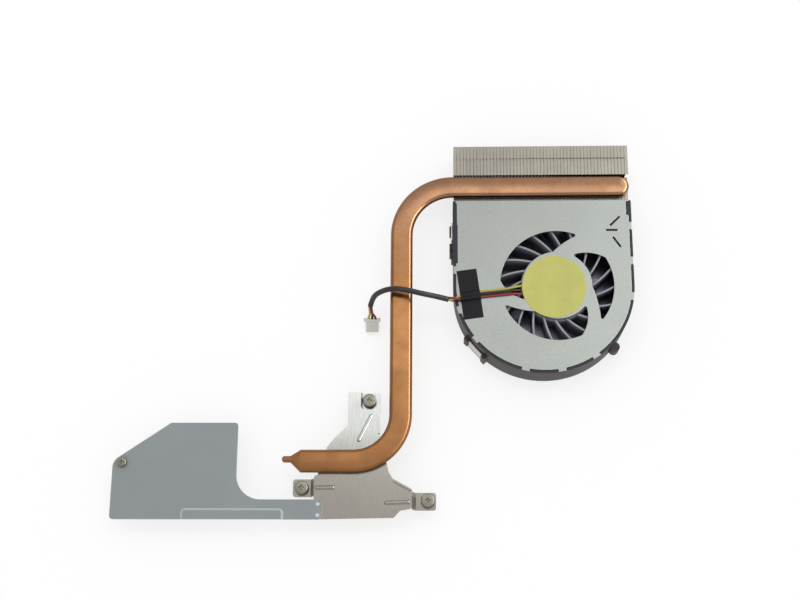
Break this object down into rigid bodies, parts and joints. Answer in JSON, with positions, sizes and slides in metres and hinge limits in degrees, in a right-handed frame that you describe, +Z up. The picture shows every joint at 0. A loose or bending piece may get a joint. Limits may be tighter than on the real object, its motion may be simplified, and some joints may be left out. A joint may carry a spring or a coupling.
{
  "type": "laptop cooling fan heatsink",
  "caption": "Laptop cooling assembly: slim blower with fin stack at its outlet, bent flattened copper heat pipe, sprung processor bracket with captive screws and an extension plate.",
  "frame": {"origin": "middle of the bounding box's underside, without the cable, on the surface it lies on", "axes": "+Z up through the cover plate, +X from the extension plate towards the fan, +Y towards the fin stack"},
  "size_m": [0.1774, 0.1318, 0.0179],
  "materials": {
    "housing_plastic": "fine moulded black",
    "blade_plastic": "glossy moulded black",
    "cover_sheet": "satin stamped sheet",
    "base_sheet": "satin stamped sheet",
    "fin_sheet": "mill finish",
    "pipe_copper": "drawn copper, slightly tarnished",
    "plate_copper": "flat ground copper",
    "bracket_steel": "bright nickel plate",
    "plate_paint": "matt blue-grey paint",
    "screw_steel": "zinc plate",
    "motor_steel": "plain steel",
    "magnet_ferrite": "sintered, dull",
    "bearing_bronze": "sintered bronze",
    "winding_copper": "enamelled wire",
    "board_laminate": "solder mask",
    "pad_plastic": "plain",
    "label_yellow": "printed film, bare",
    "tape_black": "cloth tape",
    "insulation_yellow": "extruded",
    "insulation_red": "extruded",
    "insulation_black": "extruded",
    "sleeve_black": "thin tubing",
    "connector_ivory": "moulded",
    "contact_tin": "tin plate"
  },
  "bodies": {
    "root": {"fan_housing": "housing_plastic", "fan_cover": "cover_sheet", "base_plate": "base_sheet", "sleeve_bearing": "bearing_bronze", "bearing_tube": "bearing_bronze", "thrust_pad": "pad_plastic", "stator_core": "motor_steel", "stator_coils": "winding_copper", "motor_board": "board_laminate", "hub_label": "label_yellow", "cable_tape": "tape_black", "fin_stack": "fin_sheet", "heat_pipe": "pipe_copper", "cpu_bracket": "bracket_steel", "cpu_contact_plate": "plate_copper", "extension_plate": "plate_paint", "bracket_screws": "screw_steel", "bracket_retainers": "screw_steel", "plate_screw": "screw_steel", "plate_retainer": "screw_steel", "lead_yellow": "insulation_yellow", "lead_black": "insulation_black", "lead_red": "insulation_red", "fan_cable": "sleeve_black", "connector_housing": "connector_ivory", "connector_contacts": "contact_tin"},
    "rotor": {"impeller": "blade_plastic", "rotor_yoke": "motor_steel", "ring_magnet": "magnet_ferrite", "rotor_shaft": "motor_steel"}
  },
  "joints": [
    {"name": "impeller_spin", "type": "hinge", "parent": "root", "child": "rotor", "pos_m": [0.06215, 0.01427, 0.007], "axis": [0, 0, 1], "continuous": true}
  ]
}
